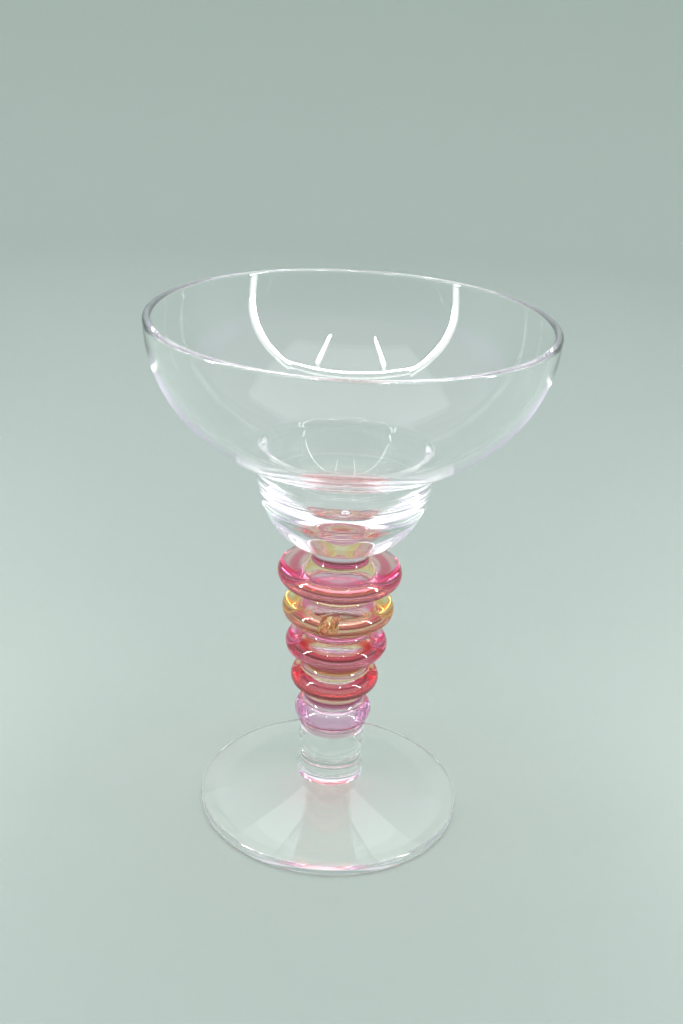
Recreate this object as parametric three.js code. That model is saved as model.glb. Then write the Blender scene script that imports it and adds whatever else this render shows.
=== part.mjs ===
// A wide, thick-walled cocktail glass: a nearly hemispherical bowl that steps down into a small
// deep well, a solid half-ball base under the well, five stacked stem rings of falling size,
// a short clear post and a round foot, a low cone that is hollow underneath. Every piece is
// glass, turned about the same axis.
//
// Millimetres, +Z up. The origin is on the axis, at the height of the ring that the foot stands on.

import * as THREE from 'three';

// ---------------------------------------------------------------- driving dimensions

const HEIGHT = 184;            // standing ring to rim
const FUSION_GAP = 0.3;        // clearance left at each fused joint

// Bowl. Each wall is a rounded arch: radius at the equator, depth below it, and two exponents,
// one that squares the shoulder and one that tapers the lower wall towards the well.
const BOWL_EQUATOR_Z = 188.5;
const SHOULDER_POWER = 2.5;
const TAPER_POWER = 1.63;
const BOWL_OUTER = { radius: 67.0, depth: 60.6 };
const BOWL_INNER = { radius: 64.3, depth: 57.0 };
const RIM_EDGE_RADIUS = 0.9;

// Well: a deep cup inside the bowl's bottom, with a soft lip where the bowl wall turns into it. Its
// wall is part of an ellipse and its floor runs down to a blunt point.
const WELL_RADIUS = 27.6;
const WELL_CENTRE_Z = 141.2;
const WELL_WALL_DEPTH = 30.5;  // the wall ellipse's other half axis, downwards
const WELL_FLOOR_RADIUS = 13;  // where the wall turns into the floor
const WELL_FLOOR_POWER = 1.25; // 1 is a cone, 2 a round floor
const WELL_LIP_RADIUS = 31.5;  // where the bowl's inside wall starts to turn down
const WELL_LIP_DROP_Z = 135;   // where the turn has become the dish's own wall
const WELL_LIP_PULL = { inward: 0.5, down: 1.6 };

// Band: the outer wall of the well, from the bowl's underside down to the seam.
const BAND_TOP_RADIUS = 31.4;
const BAND_WAIST = { radius: 30.3, z: 134.4 };
const BAND_TAPER_START = { radius: 30.2, z: 131.6 };
const BAND_BOTTOM_RADIUS = 28.3;
const SEAM_Z = 120.9;
const SEAM_RADIUS = 27.9;
const SEAM_EDGE_RADIUS = 0.4;
const WELL_SHELL = { radius: 31, depth: 36.15 }; // underside of the bowl, seated in the base

// Base: a solid, slightly flattened half ball under the seam. The power below 1 flattens it.
const BALL_RADIUS = 28.4;
const BALL_DEPTH = 24;
const BALL_CENTRE_Z = 127.2;
const BALL_POWER = 0.74;
const BALL_SHOULDER_Z = 118.5; // from here up it runs out a little to meet the seam
const BALL_NECK_JOINT_Z = 100;
const BALL_NECK_FLARE = 0.7;   // how far the ball runs out before it turns into its neck

// Stem rings, from the top down.
const RING_RADII = [21.7, 19.7, 18.1, 15.8, 13.8];
const RING_TOP_CENTRE_Z = 93.9;
const RING_PITCH = 13.75;
const RING_EDGE_RADIUS = 3.8;
const RING_FACE_RISE = 0.6;    // how far each face climbs from the round edge to its neck
const RING_FACE_SLOPE = 8;     // and its slope, in degrees
const NECK_RADII = [9.6, 11.6, 11.6, 11.0, 10.6, 10.9];
const NECK_FILLET = 1.6;

// Post and foot.
const POST_JOINT_Z = 31.9;
const POST_COLLAR = { radius: 11.8, z: 27.6 };
const POST_COLLAR_END_Z = 22.8;
const POST_RADIUS = 11.0;
const POST_FLARE_RADIUS = 12.4;
const POST_FLARE_HEIGHT = 3;
const POST_FLARE_PULL = 0.3;   // how closely the flare hugs the corner it fills
const FOOT_RADIUS = 47.4;
const FOOT_EDGE_THICKNESS = 3.9;
const FOOT_CENTRE_THICKNESS = 12.05;
const FOOT_SLOPE = 14;         // of its top, in degrees, where the rounded edge turns into it
const FOOT_EDGE_RADIUS = 1.3;
const FOOT_RING_RADIUS = 42;   // inside of the flat ring that it stands on
const HOLLOW_EDGE_RADIUS = 39; // where the hollow's cone would meet the surface under the foot
const HOLLOW_CONE = { low: { radius: 34, z: 1.3 }, high: { radius: 8, z: 8.06 } };
const HOLLOW_TOP = { radius: 4, z: 9.1 };

// Facets round the axis.
const WIDE_FACETS = 48;
const STEM_FACETS = 32;

// Colours. Each ring carries a thin stain; everything else is colourless.
const CLEAR = 0xe9eef0;
const RING_COLOURS = [0xc2285e, 0xd79a3a, 0xd8447e, 0xb01c2e, 0xc66fb4];
const POLISHED = 0.04;

// ---------------------------------------------------------------- profile helpers

const DEGREE = Math.PI / 180;
const point = (radius, z) => new THREE.Vector2(radius, z);

// Points on a circle's arc in the profile plane, angles in degrees from the outward direction.
function arc(centreRadius, centreZ, radius, startAngle, endAngle, steps) {
  const points = [];
  for (let i = 0; i <= steps; i += 1) {
    const angle = (startAngle + ((endAngle - startAngle) * i) / steps) * DEGREE;
    points.push(point(centreRadius + radius * Math.cos(angle), centreZ + radius * Math.sin(angle)));
  }
  return points;
}

// Points on the bowl's rounded arch from one phase to another, 0 at the equator, 90 at the bottom.
function bowlWall(wall, startPhase, endPhase, steps) {
  const points = [];
  for (let i = 0; i <= steps; i += 1) {
    const phase = (startPhase + ((endPhase - startPhase) * i) / steps) * DEGREE;
    const radius = wall.radius * Math.cos(phase) ** (2 / TAPER_POWER);
    const z = BOWL_EQUATOR_Z - wall.depth * Math.sin(phase) ** (2 / SHOULDER_POWER);
    points.push(point(radius, z));
  }
  return points;
}

const phaseAtZ = (wall, z) =>
  Math.asin(((BOWL_EQUATOR_Z - z) / wall.depth) ** (SHOULDER_POWER / 2)) / DEGREE;
const phaseAtRadius = (wall, radius) =>
  Math.acos((radius / wall.radius) ** (TAPER_POWER / 2)) / DEGREE;

// Points on an upright ellipse about the well's centre, angles in degrees from the outward direction.
function cup(radius, depth, startAngle, endAngle, steps) {
  const circle = arc(0, 0, 1, startAngle, endAngle, steps);
  return circle.map((p) => point(radius * p.x, WELL_CENTRE_Z + depth * p.y));
}

const cupAngleAtZ = (depth, z) => Math.asin((z - WELL_CENTRE_Z) / depth) / DEGREE;

// A soft bend from one point to another, pulled towards a third.
function bend(start, pull, end, steps) {
  return new THREE.QuadraticBezierCurve(start, pull, end).getPoints(steps);
}

// Turns a closed profile, listed clockwise with the radius to the right, into a named mesh.
function turned(name, profile, facets, colour) {
  const upward = profile.slice().reverse();
  const geometry = new THREE.LatheGeometry(upward, facets);
  geometry.rotateX(90 * DEGREE);
  const look = { color: colour, roughness: POLISHED, metalness: 0 };
  const material = new THREE.MeshStandardMaterial(look);
  const mesh = new THREE.Mesh(geometry, material);
  mesh.name = name;
  return mesh;
}

// ---------------------------------------------------------------- pieces

// The bowl with its cavity and well. The profile runs from the cavity's lowest point up the
// inside, over the rim, down the outside and the band, and under the well back to the axis.
function makeBowl() {
  const lipPhase = phaseAtRadius(BOWL_INNER, WELL_LIP_RADIUS);
  const rimPhaseIn = phaseAtZ(BOWL_INNER, HEIGHT - RIM_EDGE_RADIUS);
  const rimPhaseOut = phaseAtZ(BOWL_OUTER, HEIGHT - RIM_EDGE_RADIUS);
  const cornerPhase = phaseAtRadius(BOWL_OUTER, BAND_TOP_RADIUS);
  const insideWall = bowlWall(BOWL_INNER, lipPhase, rimPhaseIn, 10);
  const outsideWall = bowlWall(BOWL_OUTER, rimPhaseOut, cornerPhase, 10);

  const floorAngle = -Math.acos(WELL_FLOOR_RADIUS / WELL_RADIUS) / DEGREE;
  const wallEndAngle = cupAngleAtZ(WELL_WALL_DEPTH, WELL_LIP_DROP_Z);
  const wellWall = cup(WELL_RADIUS, WELL_WALL_DEPTH, floorAngle, wallEndAngle, 6);
  const floorSlope = WELL_WALL_DEPTH / WELL_RADIUS / Math.tan(-floorAngle * DEGREE);
  const floorDrop = (floorSlope * WELL_FLOOR_RADIUS) / WELL_FLOOR_POWER;
  const floorZ = wellWall[0].y - floorDrop;
  const floorReach = [0, 0.1, 0.25, 0.5, 0.75];
  const wellFloor = floorReach.map((reach) =>
    point(reach * WELL_FLOOR_RADIUS, floorZ + floorDrop * reach ** WELL_FLOOR_POWER));
  const wellTop = wellWall[wellWall.length - 1];
  const lipPull = point(wellTop.x + WELL_LIP_PULL.inward, insideWall[0].y - WELL_LIP_PULL.down);
  const lip = bend(wellTop, lipPull, insideWall[0], 3).slice(1, -1);

  const rimInX = insideWall[insideWall.length - 1].x + RIM_EDGE_RADIUS;
  const rimOutX = outsideWall[0].x - RIM_EDGE_RADIUS;
  const rimZ = HEIGHT - RIM_EDGE_RADIUS;
  const rim = [
    ...arc(rimInX, rimZ, RIM_EDGE_RADIUS, 180, 90, 3).slice(1),
    ...arc(rimOutX, rimZ, RIM_EDGE_RADIUS, 90, 0, 3).slice(0, -1),
  ];

  const bandTop = outsideWall[outsideWall.length - 1];
  const bandPull = point(BAND_WAIST.radius, BAND_WAIST.z);
  const band = bend(bandTop, bandPull, point(BAND_TAPER_START.radius, BAND_TAPER_START.z), 4).slice(1);
  const seamTopZ = SEAM_Z + FUSION_GAP / 2;
  const edgeX = BAND_BOTTOM_RADIUS - SEAM_EDGE_RADIUS;
  const bandEdge = arc(edgeX, seamTopZ + SEAM_EDGE_RADIUS, SEAM_EDGE_RADIUS, 0, -90, 2);

  const shellAngle = cupAngleAtZ(WELL_SHELL.depth, seamTopZ);
  const shell = cup(WELL_SHELL.radius, WELL_SHELL.depth, shellAngle, -90, 7);

  const inner = [...wellFloor, ...wellWall, ...lip, ...insideWall];
  const profile = [...inner, ...rim, ...outsideWall, ...band, ...bandEdge, ...shell];
  return turned('bowl', profile, WIDE_FACETS, CLEAR);
}

// The solid half ball, with a cupped seat on top for the well and a short neck under it.
function makeBowlBase() {
  const topZ = SEAM_Z - FUSION_GAP / 2;
  const seatDepth = WELL_SHELL.depth + FUSION_GAP;
  const seat = cup(WELL_SHELL.radius + FUSION_GAP, seatDepth, -90, cupAngleAtZ(seatDepth, topZ), 7);

  const neck = NECK_RADII[0];
  const ballStart = Math.asin((BALL_CENTRE_Z - BALL_SHOULDER_Z) / BALL_DEPTH);
  const ballEnd = Math.acos(((neck + BALL_NECK_FLARE) / BALL_RADIUS) ** (1 / BALL_POWER));
  const ball = [];
  for (let i = 0; i <= 9; i += 1) {
    const phase = ballStart + ((ballEnd - ballStart) * i) / 9;
    const radius = BALL_RADIUS * Math.cos(phase) ** BALL_POWER;
    ball.push(point(radius, BALL_CENTRE_Z - BALL_DEPTH * Math.sin(phase)));
  }

  const neckZ = BALL_NECK_JOINT_Z + FUSION_GAP / 2;
  const profile = [
    ...seat,
    point(SEAM_RADIUS, topZ),
    ...ball,
    point(neck, ball[ball.length - 1].y - BALL_NECK_FLARE),
    point(neck, neckZ),
    point(0, neckZ),
  ];
  return turned('bowl_base', profile, WIDE_FACETS, CLEAR);
}

// One stem ring with half of the neck above it and half of the neck below it.
function makeRing(index, topJointZ, bottomJointZ, colour) {
  const centreZ = RING_TOP_CENTRE_Z - index * RING_PITCH;
  const radius = RING_RADII[index];
  const neckAbove = NECK_RADII[index];
  const neckBelow = NECK_RADII[index + 1];
  const faceOffset = RING_EDGE_RADIUS + RING_FACE_RISE;
  const topZ = topJointZ - FUSION_GAP / 2;
  const bottomZ = bottomJointZ + FUSION_GAP / 2;
  const filletX = NECK_FILLET + neckAbove;
  const filletXBelow = NECK_FILLET + neckBelow;
  const filletRise = faceOffset + NECK_FILLET;
  const above = arc(filletX, centreZ + filletRise, NECK_FILLET, 180, 270 - RING_FACE_SLOPE, 2);
  const below = arc(filletXBelow, centreZ - filletRise, NECK_FILLET, 90 + RING_FACE_SLOPE, 180, 2);
  const edgeEnd = 90 - RING_FACE_SLOPE;
  const edge = arc(radius - RING_EDGE_RADIUS, centreZ, RING_EDGE_RADIUS, edgeEnd, -edgeEnd, 6);
  const profile = [
    point(0, topZ),
    point(neckAbove, topZ),
    ...above,
    ...edge,
    ...below,
    point(neckBelow, bottomZ),
    point(0, bottomZ),
  ];
  return turned(`stem_ring_${index + 1}`, profile, STEM_FACETS, colour);
}

// The clear post: a soft collar at its top, a straight shank, and a flare onto the foot.
function makePost() {
  const topZ = POST_JOINT_Z - FUSION_GAP / 2;
  const footZ = FOOT_CENTRE_THICKNESS + FUSION_GAP;
  const collarTop = point(NECK_RADII[RING_RADII.length], topZ);
  const collarBottom = point(POST_RADIUS, POST_COLLAR_END_Z);
  const collarPull = point(2 * POST_COLLAR.radius - POST_RADIUS, POST_COLLAR.z);
  const flareTop = point(POST_RADIUS, footZ + POST_FLARE_HEIGHT);
  const flarePull = point(POST_RADIUS + POST_FLARE_PULL, footZ + POST_FLARE_PULL);
  const profile = [
    point(0, topZ),
    ...bend(collarTop, collarPull, collarBottom, 6),
    ...bend(flareTop, flarePull, point(POST_FLARE_RADIUS, footZ), 4),
    point(0, footZ),
  ];
  return turned('stem_post', profile, STEM_FACETS, CLEAR);
}

// The foot: a low cone with a rounded edge, hollow underneath, on a flat ring near its edge.
function makeFoot() {
  const edgeX = FOOT_RADIUS - FOOT_EDGE_RADIUS;
  const edgeZ = FOOT_EDGE_THICKNESS - FOOT_EDGE_RADIUS;
  const coneLow = point(HOLLOW_CONE.low.radius, HOLLOW_CONE.low.z);
  const coneHigh = point(HOLLOW_CONE.high.radius, HOLLOW_CONE.high.z);
  const topEdge = arc(edgeX, edgeZ, FOOT_EDGE_RADIUS, 90 - FOOT_SLOPE, 0, 4);
  const bottomEdge = arc(edgeX, FOOT_EDGE_RADIUS, FOOT_EDGE_RADIUS, 0, -90, 4);
  const profile = [
    point(0, FOOT_CENTRE_THICKNESS),
    point(POST_FLARE_RADIUS, FOOT_CENTRE_THICKNESS),
    ...topEdge,
    ...bottomEdge,
    ...bend(point(FOOT_RING_RADIUS, 0), point(HOLLOW_EDGE_RADIUS, 0), coneLow, 4),
    ...bend(coneHigh, point(HOLLOW_TOP.radius, HOLLOW_TOP.z), point(0, HOLLOW_TOP.z), 4),
  ];
  return turned('foot', profile, WIDE_FACETS, CLEAR);
}

// ---------------------------------------------------------------- assembly

const glass = new THREE.Group();
glass.add(makeBowl(), makeBowlBase());

RING_COLOURS.forEach((colour, index) => {
  const centreZ = RING_TOP_CENTRE_Z - index * RING_PITCH;
  const topJointZ = index === 0 ? BALL_NECK_JOINT_Z : centreZ + RING_PITCH / 2;
  const bottomJointZ = index === RING_COLOURS.length - 1 ? POST_JOINT_Z : centreZ - RING_PITCH / 2;
  glass.add(makeRing(index, topJointZ, bottomJointZ, colour));
});

glass.add(makePost(), makeFoot());

export default glass;
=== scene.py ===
"""Looks for the ring-stemmed cocktail glass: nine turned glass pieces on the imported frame, five of them rings
with a coloured hoop inside, in a soft studio."""

import math

import bpy
from mathutils import Matrix, Vector


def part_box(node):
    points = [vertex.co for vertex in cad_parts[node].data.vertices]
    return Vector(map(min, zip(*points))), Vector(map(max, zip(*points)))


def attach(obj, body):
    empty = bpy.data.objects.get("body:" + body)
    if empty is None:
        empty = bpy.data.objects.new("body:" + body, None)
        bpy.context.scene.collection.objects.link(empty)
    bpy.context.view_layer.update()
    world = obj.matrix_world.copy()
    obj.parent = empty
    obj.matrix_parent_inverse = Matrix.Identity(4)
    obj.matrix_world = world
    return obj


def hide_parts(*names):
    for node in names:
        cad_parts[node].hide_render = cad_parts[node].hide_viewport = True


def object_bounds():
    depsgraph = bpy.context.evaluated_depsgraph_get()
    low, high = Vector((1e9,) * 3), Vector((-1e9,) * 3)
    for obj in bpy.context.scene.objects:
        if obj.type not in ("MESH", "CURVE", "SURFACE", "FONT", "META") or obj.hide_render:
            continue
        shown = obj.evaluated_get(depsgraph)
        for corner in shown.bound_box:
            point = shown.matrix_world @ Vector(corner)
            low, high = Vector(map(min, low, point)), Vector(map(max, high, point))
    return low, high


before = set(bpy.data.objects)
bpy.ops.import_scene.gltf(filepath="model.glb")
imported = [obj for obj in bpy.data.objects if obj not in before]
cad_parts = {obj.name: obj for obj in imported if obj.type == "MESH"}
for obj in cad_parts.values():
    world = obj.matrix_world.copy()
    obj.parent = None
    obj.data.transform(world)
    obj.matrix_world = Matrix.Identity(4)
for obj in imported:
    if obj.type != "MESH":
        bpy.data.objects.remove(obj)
cad_low, cad_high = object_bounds()

# ------------------------------------------------------------------ sizes
# The design is written in millimetres. MM is one of them in the frame's metres.

DESIGN_HEIGHT = 184
MM = (cad_high.z - cad_low.z) / DESIGN_HEIGHT

BOWL_EQUATOR_Z = 188.5
SHOULDER_POWER, TAPER_POWER = 2.5, 1.63
BOWL_OUTER = (67.0, 60.6)       # radius at the equator, depth below it
BOWL_INNER = (64.3, 57.0)
RIM_EDGE_RADIUS = 0.9
WELL_RADIUS, WELL_CENTRE_Z, WELL_DEPTH = 27.6, 141.2, 30.5
WELL_FLOOR_RADIUS = 13.0        # where the well's wall turns into its floor
WELL_FLOOR_POWER = 1.25         # 1 is a cone, 2 a round floor
SHELL_RADIUS = 31.15            # of the bowl's underside, seated in its base
WELL_LIP_RADIUS, WELL_LIP_DROP_Z = 31.5, 135
WELL_LIP_PULL = (0.5, 1.6)
BAND_TOP_RADIUS = 31.4
BAND_WAIST = (30.3, 134.4)
BAND_TAPER_START = (30.2, 131.6)
BAND_BOTTOM_RADIUS = 28.2
SEAM_EDGE_PULL, SEAM_EDGE_END = (0, 0.05), (0.1, 0.7)      # the band's rounded lower edge
SEAM_RADIUS, BALL_SHOULDER_Z, SHOULDER_PULL = 27.9, 118.5, 0.8
BALL_RADIUS, BALL_DEPTH, BALL_CENTRE_Z, BALL_POWER = 28.4, 24.0, 127.2, 0.74
BALL_NECK_FLARE, BALL_NECK_PULL = 0.7, 0.1
RING_TOP_CENTRE_Z, RING_PITCH = 93.9, 13.75
RING_EDGE_RADIUS, RING_FACE_RISE, RING_FACE_SLOPE = 3.8, 0.6, 8
NECK_RADII = (9.6, 11.6, 11.6, 11.0, 10.6, 10.9)
NECK_FILLET = 1.6
STAIN_SPAN = (0.62, 0.80)       # inner and outer radius of each ring's coloured hoop, as shares of the ring's
STAIN_HALF_HEIGHT, STAIN_DROP = 2.0, 1.2
POST_COLLAR = (11.8, 27.6)
POST_COLLAR_END_Z, POST_RADIUS = 22.8, 11.0
POST_FLARE_RADIUS, POST_FLARE_HEIGHT, POST_FLARE_PULL = 12.4, 3.0, 0.3
FOOT_EDGE_THICKNESS, FOOT_EDGE_RADIUS, FOOT_SLOPE = 3.9, 1.3, 14
FOOT_RING_RADIUS = 42           # inside of the flat ring that it stands on
HOLLOW_EDGE_RADIUS = 39         # where the hollow's cone would meet the surface under the foot
HOLLOW_CONE = (34, 1.3), (8, 8.06)
HOLLOW_TOP = (4, 9.1)

BOWL_BUBBLE = (0.8, -25.9, 128), (1.35, 1.2, 0.75), 0.0      # centre, half-sizes, unevenness
RING_BUBBLE = (-2.2, -9.8, 77.7), (2.7, 1.5, 1.5), 0.3

JOINT_SLIVER = 0.01             # what is left open at each fused joint, so that no two faces coincide
WIDE_SEGMENTS, STEM_SEGMENTS = 192, 128
HAND_WAVE, WAVE_FADE_RADIUS = 0.1, 6    # how uneven hand work leaves a surface, and from where in that fades
SHARP_ANGLE = 35


def top(node):
    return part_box(node)[1].z / MM


def bottom(node):
    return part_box(node)[0].z / MM


def girth(node):
    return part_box(node)[1].x / MM


RINGS = [f"stem_ring_{i}" for i in range(1, 6)]
STACK = ["bowl_base", *RINGS, "stem_post", "foot"]
JOINT_Z = [(bottom(a) + top(b)) / 2 for a, b in zip(STACK, STACK[1:])]   # from the base down
FUSION_GAP = bottom("bowl_base") - top("stem_ring_1")
SHELL_DEPTH = WELL_CENTRE_Z - bottom("bowl") + FUSION_GAP / 2             # how deep the bowl sits in its base
SEAM_Z = top("bowl_base") + FUSION_GAP / 2

# ------------------------------------------------------------------ profiles


def arc(centre_r, centre_z, radius, start, end, steps):
    angles = [math.radians(start + (end - start) * i / steps) for i in range(steps + 1)]
    return [(centre_r + radius * math.cos(a), centre_z + radius * math.sin(a)) for a in angles]


def line(a, b, steps):
    return [(a[0] + (b[0] - a[0]) * i / steps, a[1] + (b[1] - a[1]) * i / steps) for i in range(steps + 1)]


def cup(radius, depth, start, end, steps):
    """An arc of the well's ellipse, from one height to another on the wall's side."""
    angles = [math.radians(start + (end - start) * i / steps) for i in range(steps + 1)]
    return [(radius * math.cos(a), WELL_CENTRE_Z + depth * math.sin(a)) for a in angles]


def bend(a, pull, b, steps):
    out = []
    for i in range(steps + 1):
        t = i / steps
        out.append(tuple((1 - t) ** 2 * p + 2 * t * (1 - t) * q + t * t * r for p, q, r in zip(a, pull, b)))
    return out


def bowl_wall(wall, start, end, steps):
    radius, depth = wall
    out = []
    for i in range(steps + 1):
        a = math.radians(start + (end - start) * i / steps)
        drop = depth * math.sin(a) ** (2 / SHOULDER_POWER)
        out.append((radius * math.cos(a) ** (2 / TAPER_POWER), BOWL_EQUATOR_Z - drop))
    return out


def phase_at_z(wall, z):
    return math.degrees(math.asin(((BOWL_EQUATOR_Z - z) / wall[1]) ** (SHOULDER_POWER / 2)))


def phase_at_radius(wall, radius):
    return math.degrees(math.acos((radius / wall[0]) ** (TAPER_POWER / 2)))


def chain(*parts):
    """Joins stretches of profile and drops doubled points."""
    out = []
    for part in parts:
        for p in part:
            if not out or math.dist(out[-1], p) > 1e-4:
                out.append(p)
    return out


# ------------------------------------------------------------------ mesh building


def hand(angle, z):
    """How far inward, 0 to 1, hand work leaves the surface at this angle and height. It is the same for
    every piece, so fused pieces still meet."""
    w = 0.45 * math.cos(2 * angle + 0.045 * z) + 0.3 * math.cos(3 * angle - 0.07 * z + 1.3)
    w += 0.15 * math.cos(5 * angle + 0.11 * z + 0.4) + 0.1 * math.cos(7 * angle - 0.19 * z + 2.2)
    return 0.5 - 0.5 * w


def bubble(centre, radii, ripple, verts, faces):
    """Adds a closed air bubble to a piece's lists, with its faces turned towards the air inside it."""
    rows, columns = 16, 24
    first = len(verts)
    for i in range(1, rows):
        for j in range(columns):
            tilt, turn = math.pi * i / rows, 2 * math.pi * j / columns
            k = 1 + ripple * math.sin(3 * turn + 2 * tilt) * math.sin(tilt)
            way = (math.sin(tilt) * math.cos(turn), math.sin(tilt) * math.sin(turn), math.cos(tilt))
            verts.append(tuple((c + k * r * w) * MM for c, r, w in zip(centre, radii, way)))
    north, south = len(verts), len(verts) + 1
    verts.append((centre[0] * MM, centre[1] * MM, (centre[2] + radii[2]) * MM))
    verts.append((centre[0] * MM, centre[1] * MM, (centre[2] - radii[2]) * MM))
    end = first + (rows - 2) * columns
    for j in range(columns):
        k = (j + 1) % columns
        faces.append((north, first + k, first + j))
        faces.append((south, end + j, end + k))
        for i in range(rows - 2):
            a, b = first + i * columns, first + (i + 1) * columns
            faces.append((a + j, a + k, b + k, b + j))


def turned(name, profile, segments, joints=(), wave=HAND_WAVE, bubbles=()):
    """A closed solid of revolution from a profile listed anticlockwise with the radius to the right, which
    starts and ends on the axis or closes on itself. Faces between profile points i and i + 1 take slot 1
    where i is in joints."""
    verts, rings = [], []
    for r, z in profile:
        if r < 1e-6:
            rings.append([len(verts)])
            verts.append((0.0, 0.0, z * MM))
            continue
        ring = []
        fade = min(1.0, r / WAVE_FADE_RADIUS)
        for s in range(segments):
            a = 2 * math.pi * s / segments
            rr = (r - wave * fade * hand(a, z)) * MM
            ring.append(len(verts))
            verts.append((rr * math.cos(a), rr * math.sin(a), z * MM))
        rings.append(ring)
    if profile[0][0] > 1e-6:
        rings.append(rings[0])
    faces, slots = [], []
    for i, (a, b) in enumerate(zip(rings, rings[1:])):
        for s in range(segments):
            t = (s + 1) % segments
            if len(a) == 1:
                faces.append((a[0], b[t], b[s]))
            elif len(b) == 1:
                faces.append((a[s], a[t], b[0]))
            else:
                faces.append((a[s], a[t], b[t], b[s]))
            slots.append(1 if i in joints else 0)
    for each in bubbles:
        bubble(*each, verts, faces)
    slots += [0] * (len(faces) - len(slots))
    mesh = bpy.data.meshes.new(name)
    mesh.from_pydata(verts, [], faces)
    mesh.polygons.foreach_set("material_index", slots)
    mesh.polygons.foreach_set("use_smooth", [True] * len(faces))
    mesh.update()
    mesh.set_sharp_from_angle(angle=math.radians(SHARP_ANGLE))
    obj = bpy.data.objects.new(name, mesh)
    bpy.context.scene.collection.objects.link(obj)
    return obj


# ------------------------------------------------------------------ pieces of the glass


def caps(profile):
    """A profile's first and last stretches, where those are its two flat joint faces."""
    return {0, len(profile) - 2}


def bowl_profile():
    """The bowl's profile, and which of its stretches are joint faces."""
    shell_r, shell_d = SHELL_RADIUS - JOINT_SLIVER, SHELL_DEPTH - JOINT_SLIVER
    seam_z = SEAM_Z + JOINT_SLIVER
    shell_angle = math.degrees(math.asin((seam_z - WELL_CENTRE_Z) / shell_d))
    shell = cup(shell_r, shell_d, -90, shell_angle, 24)
    flat = line(shell[-1], (SEAM_RADIUS, seam_z), 3)
    edge_pull, edge_end = ((BAND_BOTTOM_RADIUS + r, seam_z + z) for r, z in (SEAM_EDGE_PULL, SEAM_EDGE_END))
    edge = bend(flat[-1], edge_pull, edge_end, 8)
    rim_z = DESIGN_HEIGHT - RIM_EDGE_RADIUS
    band_phase = phase_at_radius(BOWL_OUTER, BAND_TOP_RADIUS)
    lip_phase = phase_at_radius(BOWL_INNER, WELL_LIP_RADIUS)
    outside = bowl_wall(BOWL_OUTER, band_phase, phase_at_z(BOWL_OUTER, rim_z), 60)
    inside = bowl_wall(BOWL_INNER, phase_at_z(BOWL_INNER, rim_z), lip_phase, 60)
    band = line(edge[-1], BAND_TAPER_START, 12)[:-1] + bend(BAND_TAPER_START, BAND_WAIST, outside[0], 12)
    rim = arc(outside[-1][0] - RIM_EDGE_RADIUS, rim_z, RIM_EDGE_RADIUS, 0, 90, 10)
    rim += arc(inside[0][0] + RIM_EDGE_RADIUS, rim_z, RIM_EDGE_RADIUS, 90, 180, 10)
    dish_end = math.degrees(math.asin((WELL_LIP_DROP_Z - WELL_CENTRE_Z) / WELL_DEPTH))
    floor_start = -math.degrees(math.acos(WELL_FLOOR_RADIUS / WELL_RADIUS))
    dish = cup(WELL_RADIUS, WELL_DEPTH, dish_end, floor_start, 30)
    slope = WELL_DEPTH / WELL_RADIUS / math.tan(math.radians(-floor_start))
    drop = slope * WELL_FLOOR_RADIUS / WELL_FLOOR_POWER
    shares = [1 - i / 30 for i in range(1, 31)]
    floor = [(WELL_FLOOR_RADIUS * t, dish[-1][1] - drop * (1 - t ** WELL_FLOOR_POWER)) for t in shares]
    lip = bend(inside[-1], (dish[0][0] + WELL_LIP_PULL[0], inside[-1][1] - WELL_LIP_PULL[1]), dish[0], 16)
    seated = chain(shell, flat)
    profile = chain(seated, edge, band, outside, rim, inside, lip, dish, floor)
    return profile, set(range(len(seated) - 1))


def base_profile():
    """The base's profile, and which of its stretches are joint faces."""
    seat_r, seat_d = SHELL_RADIUS + JOINT_SLIVER, SHELL_DEPTH + JOINT_SLIVER
    seam_z = SEAM_Z - JOINT_SLIVER
    neck = NECK_RADII[0]
    low = JOINT_Z[0] + JOINT_SLIVER
    ball_end = math.acos(((neck + BALL_NECK_FLARE) / BALL_RADIUS) ** (1 / BALL_POWER))
    ball_start = math.asin((BALL_CENTRE_Z - BALL_SHOULDER_Z) / BALL_DEPTH)
    turns = [ball_end + (ball_start - ball_end) * i / 48 for i in range(49)]
    ball = [(BALL_RADIUS * math.cos(a) ** BALL_POWER, BALL_CENTRE_Z - BALL_DEPTH * math.sin(a))
            for a in turns]
    root_pull = (neck + BALL_NECK_PULL, ball[0][1] - BALL_NECK_PULL)
    root = bend((neck, ball[0][1] - BALL_NECK_FLARE), root_pull, ball[0], 8)
    shoulder = bend(ball[-1], (SEAM_RADIUS, seam_z - SHOULDER_PULL), (SEAM_RADIUS, seam_z), 8)
    seat_angle = math.degrees(math.asin((seam_z - WELL_CENTRE_Z) / seat_d))
    seat = cup(seat_r, seat_d, seat_angle, -90, 24)
    cap = line((0, low), (neck, low), 1)
    seated = chain(line(shoulder[-1], seat[0], 3), seat)
    profile = chain(cap, root, ball, shoulder, seated)
    return profile, {0, *range(len(profile) - len(seated), len(profile) - 1)}


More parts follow.
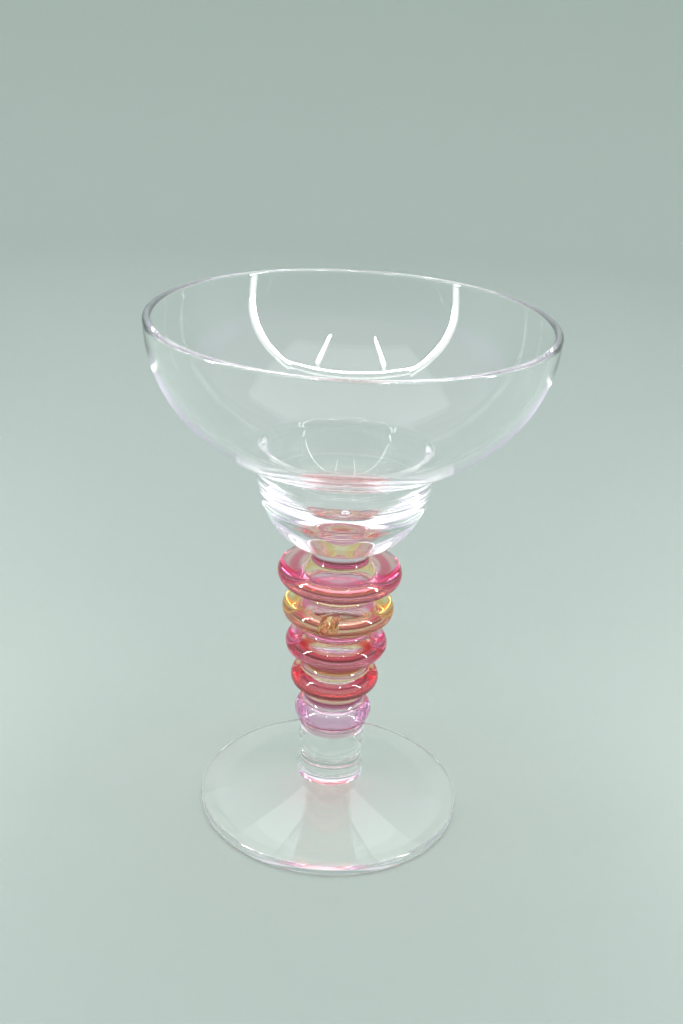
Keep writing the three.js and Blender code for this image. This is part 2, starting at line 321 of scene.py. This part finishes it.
def ring_profile(index):
    centre = RING_TOP_CENTRE_Z - index * RING_PITCH
    high, low = JOINT_Z[index] - JOINT_SLIVER, JOINT_Z[index + 1] + JOINT_SLIVER
    neck_up, neck_down = NECK_RADII[index], NECK_RADII[index + 1]
    rise = RING_EDGE_RADIUS + RING_FACE_RISE + NECK_FILLET
    slope = RING_FACE_SLOPE
    under = arc(neck_down + NECK_FILLET, centre - rise, NECK_FILLET, 180, 90 + slope, 8)
    over = arc(neck_up + NECK_FILLET, centre + rise, NECK_FILLET, 270 - slope, 180, 8)
    edge = arc(girth(RINGS[index]) - RING_EDGE_RADIUS, centre, RING_EDGE_RADIUS, slope - 90, 90 - slope, 32)
    return chain(line((0, low), (neck_down, low), 1), under, line(under[-1], edge[0], 4), edge,
                 line(edge[-1], over[0], 4), over, line((neck_up, high), (0, high), 1))


def stain_profile(index):
    """The coloured core of a ring: an oval hoop inside the clear glass, closed on itself."""
    centre = RING_TOP_CENTRE_Z - index * RING_PITCH - STAIN_DROP
    inner, outer = STAIN_SPAN[0] * girth(RINGS[index]), STAIN_SPAN[1] * girth(RINGS[index])
    middle, half = (inner + outer) / 2, (outer - inner) / 2
    turns = [2 * math.pi * i / 32 for i in range(32)]
    return [(middle + half * math.cos(t), centre + STAIN_HALF_HEIGHT * math.sin(t)) for t in turns]


def post_profile():
    high, low = JOINT_Z[5] - JOINT_SLIVER, JOINT_Z[6] + JOINT_SLIVER
    pull_r = 2 * POST_COLLAR[0] - POST_RADIUS
    collar = bend((POST_RADIUS, POST_COLLAR_END_Z), (pull_r, POST_COLLAR[1]), (NECK_RADII[5], high), 24)
    flare = bend((POST_FLARE_RADIUS, low), (POST_RADIUS + POST_FLARE_PULL, low + POST_FLARE_PULL),
                 (POST_RADIUS, low + POST_FLARE_HEIGHT), 16)
    return chain(line((0, low), (POST_FLARE_RADIUS, low), 1), flare,
                 line(flare[-1], collar[0], 10), collar, line(collar[-1], (0, high), 1))


def foot_profile():
    """A low cone, hollow underneath. Its last stretch is the joint face under the post."""
    high = JOINT_Z[6] - JOINT_SLIVER
    edge_r = girth("foot") - FOOT_EDGE_RADIUS
    edge = arc(edge_r, FOOT_EDGE_RADIUS, FOOT_EDGE_RADIUS, -90, 0, 12)
    edge += arc(edge_r, FOOT_EDGE_THICKNESS - FOOT_EDGE_RADIUS, FOOT_EDGE_RADIUS, 0, 90 - FOOT_SLOPE, 12)
    dome = bend((0, HOLLOW_TOP[1]), HOLLOW_TOP, HOLLOW_CONE[1], 12)
    hollow = bend(HOLLOW_CONE[0], (HOLLOW_EDGE_RADIUS, 0), (FOOT_RING_RADIUS, 0), 12)
    seat = line((POST_FLARE_RADIUS, high), (0, high), 1)
    return chain(dome, line(dome[-1], hollow[0], 16), hollow, line(hollow[-1], edge[0], 2), edge,
                 line(edge[-1], seat[0], 16), seat)


# ------------------------------------------------------------------ materials

EDGE_STAIN = (9, 0.5)           # how far in from a ring's edge its stain starts, and where it is full
UNDER_STAIN = (-0.92, -0.74)    # up to where the stain under the low line is full, and where it ends
NECK_PAINTED_TINT = (1.12, 1.4)        # from where the neck's tint starts, and where it is full: a painted tint that stands in for the ring's colour seen through the neck


class Shade:
    """A material under construction. Its methods add nodes and return an output, or the shader itself."""

    def __init__(self, name):
        self.material = bpy.data.materials.new(name)
        self.material.use_nodes = True
        tree = self.material.node_tree
        self.nodes, self.links = tree.nodes, tree.links
        self.nodes.clear()
        self.out = self.nodes.new("ShaderNodeOutputMaterial")

    def feed(self, socket, value):
        if hasattr(value, "is_output"):
            self.links.new(value, socket)
        elif isinstance(value, tuple) and len(value) == 3 and socket.type == "RGBA":
            socket.default_value = (*value, 1)
        else:
            socket.default_value = value

    def math(self, operation, a, b=0.0):
        node = self.nodes.new("ShaderNodeMath")
        node.operation = operation
        self.feed(node.inputs[0], a)
        self.feed(node.inputs[1], b)
        return node.outputs[0]

    def ramp(self, value, low, high, start=0.0, end=1.0):
        node = self.nodes.new("ShaderNodeMapRange")
        node.interpolation_type = "SMOOTHSTEP"
        ends = {"From Min": low, "From Max": high, "To Min": start, "To Max": end}
        self.feed(node.inputs["Value"], value)
        for key, end_value in ends.items():
            self.feed(node.inputs[key], end_value)
        return node.outputs[0]

    def band(self, value, centre, half_width):
        """1 at centre, falling to 0 half_width away."""
        off = self.math("ABSOLUTE", self.math("SUBTRACT", value, centre))
        return self.ramp(off, 0.0, half_width, 1.0, 0.0)

    def mix(self, factor, a, b):
        node = self.nodes.new("ShaderNodeMix")
        node.data_type = "RGBA"
        self.feed(node.inputs["Factor"], factor)
        colours = {socket.name: socket for socket in node.inputs if socket.type == "RGBA"}
        self.feed(colours["A"], a)
        self.feed(colours["B"], b)
        return next(socket for socket in node.outputs if socket.type == "RGBA")

    def place(self):
        return self.nodes.new("ShaderNodeTexCoord").outputs["Object"]

    def split(self, where):
        node = self.nodes.new("ShaderNodeSeparateXYZ")
        self.links.new(where, node.inputs[0])
        return tuple(node.outputs)

    def hypot(self, x, y):
        return self.math("SQRT", self.math("ADD", self.math("MULTIPLY", x, x), self.math("MULTIPLY", y, y)))

    def noise(self, where, scale, detail=2.0):
        node = self.nodes.new("ShaderNodeTexNoise")
        self.links.new(where, node.inputs["Vector"])
        node.inputs["Scale"].default_value = scale
        node.inputs["Detail"].default_value = detail
        return node.outputs["Fac"]

    def bump(self, height, strength, distance):
        node = self.nodes.new("ShaderNodeBump")
        self.links.new(height, node.inputs["Height"])
        node.inputs["Strength"].default_value = strength
        node.inputs["Distance"].default_value = distance
        return node.outputs[0]

    def principled(self, colour, roughness, **plain):
        node = self.nodes.new("ShaderNodeBsdfPrincipled")
        self.feed(node.inputs["Base Color"], colour)
        self.feed(node.inputs["Roughness"], roughness)
        for key, value in plain.items():
            node.inputs[key.replace("_", " ")].default_value = value
        self.links.new(node.outputs[0], self.out.inputs["Surface"])
        return node


def joint_glass():
    s = Shade("fused_joint")
    s.links.new(s.nodes.new("ShaderNodeBsdfTransparent").outputs[0], s.out.inputs["Surface"])
    return s.material


def polish(s, where):
    """Fire-polished glass: nearly mirror smooth, with faint wiping haze here and there."""
    return s.ramp(s.noise(where, 45, 3), 0.5, 0.8, 0.0, 0.035)


def clear_glass(name, colour=(0.985, 0.99, 0.988)):
    s = Shade(name)
    where = s.place()
    shader = s.principled(colour, polish(s, where), Transmission_Weight=1.0, IOR=1.5)
    s.links.new(s.bump(s.noise(where, 22, 1), 0.25, 0.0002), shader.inputs["Normal"])
    return s.material


def stain_and_painted_tint_glass(name, centre_z, radius_mm, edge_tint, low_line, line_place, under, neck):
    """Glass with a thin stain, faint at the edge and with its own colour under a deep dark line low on the
    edge.
    On the neck above it, a deep tint is painted that stands in for the ring's colour seen through the neck. u
    runs from -1 at the edge's underside to 1 at its top."""
    s = Shade(name)
    where = s.place()
    x, y, z = s.split(where)
    radius = s.hypot(x, y)
    u = s.math("DIVIDE", s.math("SUBTRACT", z, centre_z * MM), RING_EDGE_RADIUS * MM)
    patchy = s.ramp(s.noise(where, 70, 2), 0.25, 0.75, 0.65, 1.0)
    start, full = ((radius_mm - inward) * MM for inward in EDGE_STAIN)
    edge = s.math("MULTIPLY", s.ramp(radius, start, full), patchy)
    colour = s.mix(edge, (0.98, 0.98, 0.975), edge_tint)
    colour = s.mix(s.band(u, *line_place), colour, low_line)
    colour = s.mix(s.ramp(u, *UNDER_STAIN, 1.0, 0.0), colour, under)
    # Painted tint on the neck above the ring, standing in for the ring's colour seen through the neck.
    colour = s.mix(s.ramp(u, *NECK_PAINTED_TINT), colour, neck)
    shader = s.principled(colour, polish(s, where), Transmission_Weight=1.0, IOR=1.5)
    s.links.new(s.bump(s.noise(where, 60, 1), 0.2, 0.0001), shader.inputs["Normal"])
    return s.material


def stain_core(name, colour, density):
    """Colour in the glass's depth. It bends no light, so it only shows as the tint of what lies behind it."""
    s = Shade(name)
    shader = s.principled((1.0, 1.0, 1.0), 0.0, Transmission_Weight=1.0, IOR=1.0, Specular_IOR_Level=0.0)
    tint = s.nodes.new("ShaderNodeVolumeAbsorption")
    tint.inputs["Color"].default_value = (*colour, 1)
    tint.inputs["Density"].default_value = density
    s.links.new(tint.outputs[0], s.out.inputs["Volume"])
    return s.material


JOINT = joint_glass()
CLEAR = clear_glass("clear_glass")
RING_STAINS_AND_PAINTED_TINTS = (     # slot, edge, low line, the line's place and half width in u, under the line, neck above: a painted tint standing in for the ring's colour seen through the neck
    ("ruby_glass", (0.96, 0.74, 0.86), (0.16, 0.002, 0.006), (-0.54, 0.46),
     (0.98, 0.50, 0.42), (0.46, 0.03, 0.11)),
    ("amber_glass", (0.98, 0.90, 0.66), (0.24, 0.012, 0.004), (-0.36, 0.46),
     (0.98, 0.84, 0.36), (0.82, 0.66, 0.42)),
    ("pink_glass", (0.97, 0.74, 0.85), (0.26, 0.003, 0.015), (-0.54, 0.44),
     (0.96, 0.50, 0.66), (0.72, 0.18, 0.34)),
    ("red_glass", (0.97, 0.70, 0.48), (0.12, 0.001, 0.003), (-0.38, 0.62),
     (0.98, 0.70, 0.30), (0.66, 0.34, 0.14)),
    ("lilac_glass", (0.94, 0.72, 0.92), (0.36, 0.05, 0.12), (-0.60, 0.34),
     (0.84, 0.46, 0.58), (0.50, 0.18, 0.28)),
)
CORE_STAINS = (     # colour and density of each ring's hoop
    ((0.97, 0.04, 0.38), 210),
    ((0.97, 0.68, 0.10), 180),
    ((0.98, 0.06, 0.46), 210),
    ((0.94, 0.02, 0.16), 380),
    ((0.94, 0.16, 0.66), 190),
)


def claim(obj, node, slot, *materials):
    """Makes a piece stand for a CAD node, with its materials in order."""
    for material in materials:
        obj.data.materials.append(material)
    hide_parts(node)
    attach(obj, "root")


profile, joints = bowl_profile()
bowl = turned("glass_bowl", profile, WIDE_SEGMENTS, joints, bubbles=[BOWL_BUBBLE])
claim(bowl, "bowl", "clear_glass", CLEAR, JOINT)
profile, joints = base_profile()
claim(turned("glass_bowl_base", profile, WIDE_SEGMENTS, joints), "bowl_base", "clear_glass", CLEAR, JOINT)

RING_BUBBLES = {"stem_ring_2": [RING_BUBBLE]}
for i, (node, (slot, *stain)) in enumerate(zip(RINGS, RING_STAINS_AND_PAINTED_TINTS)):
    profile = ring_profile(i)
    glass = stain_and_painted_tint_glass(slot, RING_TOP_CENTRE_Z - i * RING_PITCH, girth(node), *stain)
    bubbles = RING_BUBBLES.get(node, [])
    ring = turned(f"glass_ring_{i + 1}", profile, STEM_SEGMENTS, caps(profile), bubbles=bubbles)
    claim(ring, node, slot, glass, JOINT)
for i, (node, (slot, *_), (colour, density)) in enumerate(zip(RINGS, RING_STAINS_AND_PAINTED_TINTS, CORE_STAINS)):
    core = turned(f"glass_ring_{i + 1}_colour", stain_profile(i), STEM_SEGMENTS, wave=0.0)
    claim(core, node, slot, stain_core(f"{slot}_depth", colour, density))

profile = post_profile()
claim(turned("glass_post", profile, STEM_SEGMENTS, caps(profile)), "stem_post", "clear_glass", CLEAR, JOINT)
profile = foot_profile()
foot = turned("glass_foot", profile, WIDE_SEGMENTS, {len(profile) - 2})
claim(foot, "foot", "clear_glass", CLEAR, JOINT)

# ------------------------------------------------------------------ studio
# The studio is written in metres.


def stage_mesh(name, verts, faces, mat):
    mesh = bpy.data.meshes.new(name)
    mesh.from_pydata(verts, [], faces)
    mesh.polygons.foreach_set("use_smooth", [True] * len(faces))
    mesh.materials.append(mat)
    obj = bpy.data.objects.new(name, mesh)
    bpy.context.scene.collection.objects.link(obj)
    return obj


def paper():
    """Pale grey-green paper with a faint tooth. It turns lighter up the walls, and lilac-white on the side
    walls."""
    s = Shade("pale_paper")
    where = s.place()
    x, _, z = s.split(where)
    aside = s.math("MULTIPLY", s.ramp(s.math("ABSOLUTE", x), 0.6, 1.0), s.ramp(z, 0.45, 0.6))
    colour = s.mix(s.ramp(z, 0.4, 0.85), (0.50, 0.60, 0.53), (0.74, 0.76, 0.78))
    colour = s.mix(aside, colour, (0.82, 0.72, 0.90))
    shader = s.principled(colour, 0.9, Specular_IOR_Level=0.1)
    s.links.new(s.bump(s.noise(where, 900), 0.05, 0.0003), shader.inputs["Normal"])
    return s.material


FLOOR_GAP = 0.1     # left under the glass, so that its underside and the floor don't coincide


def cove():
    """A pale floor that curves up into a round wall, open above."""
    floor_r, bend_r, wall_top = 0.95, 0.35, 0.85
    profile = [(0.0, 0.0), (0.3, 0.0), (0.6, 0.0)]
    profile += [(floor_r + bend_r * math.sin(a), bend_r - bend_r * math.cos(a))
                for a in (math.radians(90 * i / 16) for i in range(17))]
    profile.append((floor_r + bend_r, wall_top))
    n = 96
    verts, faces = [(0, 0, 0)], []
    for r, z in profile[1:]:
        verts += [(r * math.cos(2 * math.pi * s / n), r * math.sin(2 * math.pi * s / n), z) for s in range(n)]
    for s in range(n):
        faces.append((0, 1 + s, 1 + (s + 1) % n))
    for i in range(len(profile) - 2):
        a, b = 1 + i * n, 1 + (i + 1) * n
        for s in range(n):
            t = (s + 1) % n
            faces.append((a + s, b + s, b + t, a + t))
    obj = stage_mesh("cove", verts, faces, paper())
    obj.location.z = cad_low.z - FLOOR_GAP * MM


def area(name, location, target, size, power, spread=180, in_glass=False):
    """A rectangular light that the camera doesn't see, except in and through glass where in_glass is set."""
    data = bpy.data.lights.new(name, "AREA")
    data.shape = "RECTANGLE"
    data.size, data.size_y = size
    data.energy = power
    data.spread = math.radians(spread)
    obj = bpy.data.objects.new(name, data)
    bpy.context.scene.collection.objects.link(obj)
    obj.location = location
    obj.rotation_euler = (Vector(target) - Vector(location)).to_track_quat("-Z", "Y").to_euler()
    obj.visible_camera = False
    obj.visible_glossy = obj.visible_transmission = in_glass


LAMP_PITCH = 0.009
LAMP_EDGE, LAMP_DIM = (0.3, 0.4), 0.25      # where a lamp ends, in pitches, and how dim the strip is between
STRIP_WIDTH, STRIP_STRENGTH = 0.015, 140


def led_strip(name, a, b, width=STRIP_WIDTH, strength=STRIP_STRENGTH):
    """A row of small lamps from a to b. It only shows in reflections and through glass."""
    s = Shade(name)
    x, y, z = s.split(s.place())
    step = s.math("PINGPONG", s.math("ADD", s.math("ADD", x, y), z), LAMP_PITCH / 2)
    glow = s.nodes.new("ShaderNodeEmission")
    low, high = LAMP_EDGE
    lit = s.ramp(step, low * LAMP_PITCH, high * LAMP_PITCH, strength, LAMP_DIM * strength)
    s.feed(glow.inputs["Strength"], lit)
    s.links.new(glow.outputs[0], s.out.inputs["Surface"])
    s.material.cycles.emission_sampling = "NONE"
    a, b = Vector(a), Vector(b)
    along = (b - a).normalized()
    aside = Vector((0, 0, 1)) if abs(along.z) < 0.9 else Vector((1, 0, 0))
    across = along.cross(aside).normalized()
    over = along.cross(across).normalized() * width / 2
    across *= width / 2
    corners = ((-1, -1), (1, -1), (1, 1), (-1, 1))
    verts = [tuple(end + i * across + j * over) for end in (a, b) for i, j in corners]
    faces = [(0, 1, 2, 3), (7, 6, 5, 4), (0, 4, 5, 1), (1, 5, 6, 2), (2, 6, 7, 3), (3, 7, 4, 0)]
    obj = stage_mesh(name, verts, faces, s.material)
    obj.visible_camera = obj.visible_diffuse = obj.visible_shadow = False


cove()
area("key_overhead", (0, 0.05, 1.1), (0, 0, 0), (1.32, 1.32), 4.5, in_glass=True)
area("wall_wash_left", (-0.35, 0.0, 0.9), (-1.2, 0, 0.2), (0.3, 1.2), 3, 90)
area("wall_wash_right", (0.35, 0.0, 0.9), (1.2, 0, 0.2), (0.3, 1.2), 3, 90)
led_strip("strip_top", (-0.3, -0.06, 0.76), (0.3, -0.06, 0.76))
for side, sign in (("left", -1), ("right", 1)):
    led_strip(f"strip_{side}", (0.3 * sign, -0.118, 0.12), (0.3 * sign, -0.04, 0.76))
    led_strip(f"strip_roof_{side}", (0.17 * sign, -0.49, 0.76), (0.165 * sign, -0.12, 0.76))

world = bpy.data.worlds.new("studio_air")
bpy.context.scene.world = world
world.use_nodes = True
sky = world.node_tree.nodes["Background"]
sky.inputs["Color"].default_value = (0.95, 0.91, 1.0, 1)
sky.inputs["Strength"].default_value = 0.86

# ------------------------------------------------------------------ camera

CAMERA_BACK, CAMERA_HEIGHT = 404.65, 292.67     # from the glass's axis and from the surface it stands on
PITCH, YAW, ROLL = math.radians(23.595), math.radians(-0.071), math.radians(3.008)
forward = Vector((math.sin(YAW) * math.cos(PITCH), math.cos(YAW) * math.cos(PITCH), -math.sin(PITCH)))
right = Vector((math.cos(YAW), -math.sin(YAW), 0))
up = right.cross(forward)
tilted_right = math.cos(ROLL) * right + math.sin(ROLL) * up
tilted_up = -math.sin(ROLL) * right + math.cos(ROLL) * up
data = bpy.data.cameras.new("camera")
data.sensor_width, data.lens = 36, 45.61
camera = bpy.data.objects.new("camera", data)
bpy.context.scene.collection.objects.link(camera)
camera.matrix_world = Matrix((
    (tilted_right.x, tilted_up.x, -forward.x, 0),
    (tilted_right.y, tilted_up.y, -forward.y, -CAMERA_BACK * MM),
    (tilted_right.z, tilted_up.z, -forward.z, CAMERA_HEIGHT * MM),
    (0, 0, 0, 1),
))
bpy.context.scene.camera = camera

bpy.context.scene.view_settings.view_transform = "Standard"     # keeps the rings' colours as deep as they are
cycles = bpy.context.scene.cycles
GUIDED_BOUNCES = 64             # light is guided a long way inside the walls before it leaves them
cycles.max_bounces = cycles.transmission_bounces = GUIDED_BOUNCES
cycles.glossy_bounces = cycles.transparent_max_bounces = GUIDED_BOUNCES
cycles.blur_glossy = 0.0        # unfiltered, so that the floor under the foot gets its light
